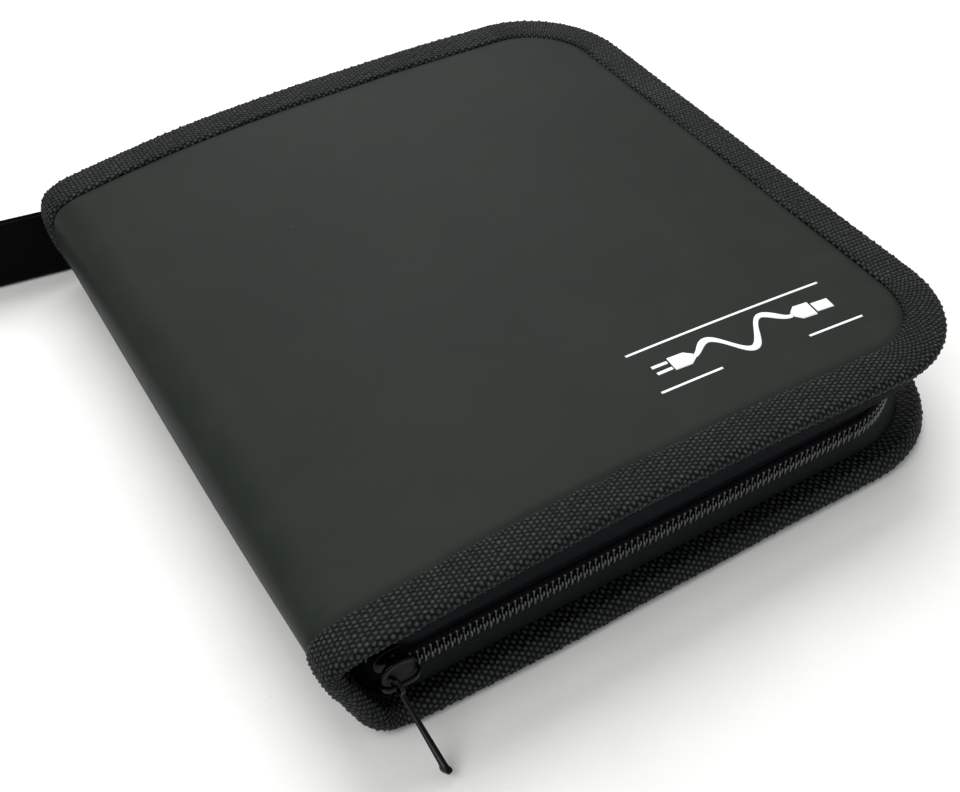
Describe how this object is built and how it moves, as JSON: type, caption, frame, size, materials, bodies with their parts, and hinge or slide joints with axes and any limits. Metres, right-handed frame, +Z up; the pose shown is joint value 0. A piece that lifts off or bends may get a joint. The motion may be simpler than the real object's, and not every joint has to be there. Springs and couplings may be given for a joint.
{
  "type": "cable organizer pouch",
  "caption": "Soft rubberised zip case that opens like a book, with woven edge tape, elastic cable loops, mesh pocket and wrist strap.",
  "frame": {"origin": "middle of the back cover's flat underside, where the closed case rests", "axes": "+X from the spine to the opening edge, +Y along the spine away from the parked slider, +Z up through the closed case"},
  "size_m": [0.3211, 0.2464, 0.037],
  "materials": {
    "rubberised_skin": "matt rubberised polyurethane sheet",
    "edge_tape": "coarse woven polyester tape",
    "padding_foam": "closed-cell foam",
    "cover_board": "plain polyethylene board",
    "inner_lining": "fine woven polyester",
    "zip_fabric": "herringbone woven zip tape",
    "zip_nylon": "moulded nylon coil",
    "painted_zinc": "gloss black paint",
    "strap_webbing": "ribbed polyester webbing",
    "loop_elastic": "ribbed woven elastic",
    "pocket_net": "warp-knitted net"
  },
  "bodies": {
    "back_cover": {"back_skin": "rubberised_skin", "back_padding": "padding_foam", "back_board": "cover_board", "back_lining": "inner_lining", "back_binding": "edge_tape", "lower_zip_tape": "zip_fabric", "lower_zip_coil": "zip_nylon", "zip_bottom_stop": "painted_zinc", "elastic_loops_1": "loop_elastic", "elastic_loops_2": "loop_elastic", "strap_anchor": "strap_webbing"},
    "spine": {"spine_skin": "rubberised_skin", "spine_padding": "padding_foam", "spine_lining": "inner_lining", "near_spine_binding": "edge_tape", "far_spine_binding": "edge_tape"},
    "front_cover": {"front_skin": "rubberised_skin", "front_padding": "padding_foam", "front_board": "cover_board", "front_lining": "inner_lining", "front_binding": "edge_tape", "upper_zip_tape": "zip_fabric", "upper_zip_coil": "zip_nylon", "mesh_pocket": "pocket_net", "pocket_hem": "edge_tape"},
    "slider": {"zip_slider": "painted_zinc", "slider_bridge": "painted_zinc"},
    "tab": {"pull_tab": "painted_zinc"},
    "strap": {"wrist_strap": "strap_webbing"}
  },
  "joints": [
    {"name": "spine_fold", "type": "hinge", "parent": "back_cover", "child": "spine", "pos_m": [-0.08057, 0, 0.00193], "axis": [0, -1, 0], "range_deg": [0, 90]},
    {"name": "cover_fold", "type": "hinge", "parent": "spine", "child": "front_cover", "pos_m": [-0.08057, 0, 0.03047], "axis": [0, -1, 0], "range_deg": [0, 83]},
    {"name": "slider_travel", "type": "slide", "parent": "back_cover", "child": "slider", "axis": [1, 0, 0], "range_m": [0, 0.118]},
    {"name": "tab_swing", "type": "hinge", "parent": "slider", "child": "tab", "pos_m": [-0.0725, -0.09105, 0.0193], "axis": [0, 0, 1], "range_deg": [-65, 35]},
    {"name": "strap_swing", "type": "hinge", "parent": "back_cover", "child": "strap", "pos_m": [-0.0756, 0.0952, 0.0106], "axis": [0, 0, -1], "range_deg": [-3, 75]}
  ]
}
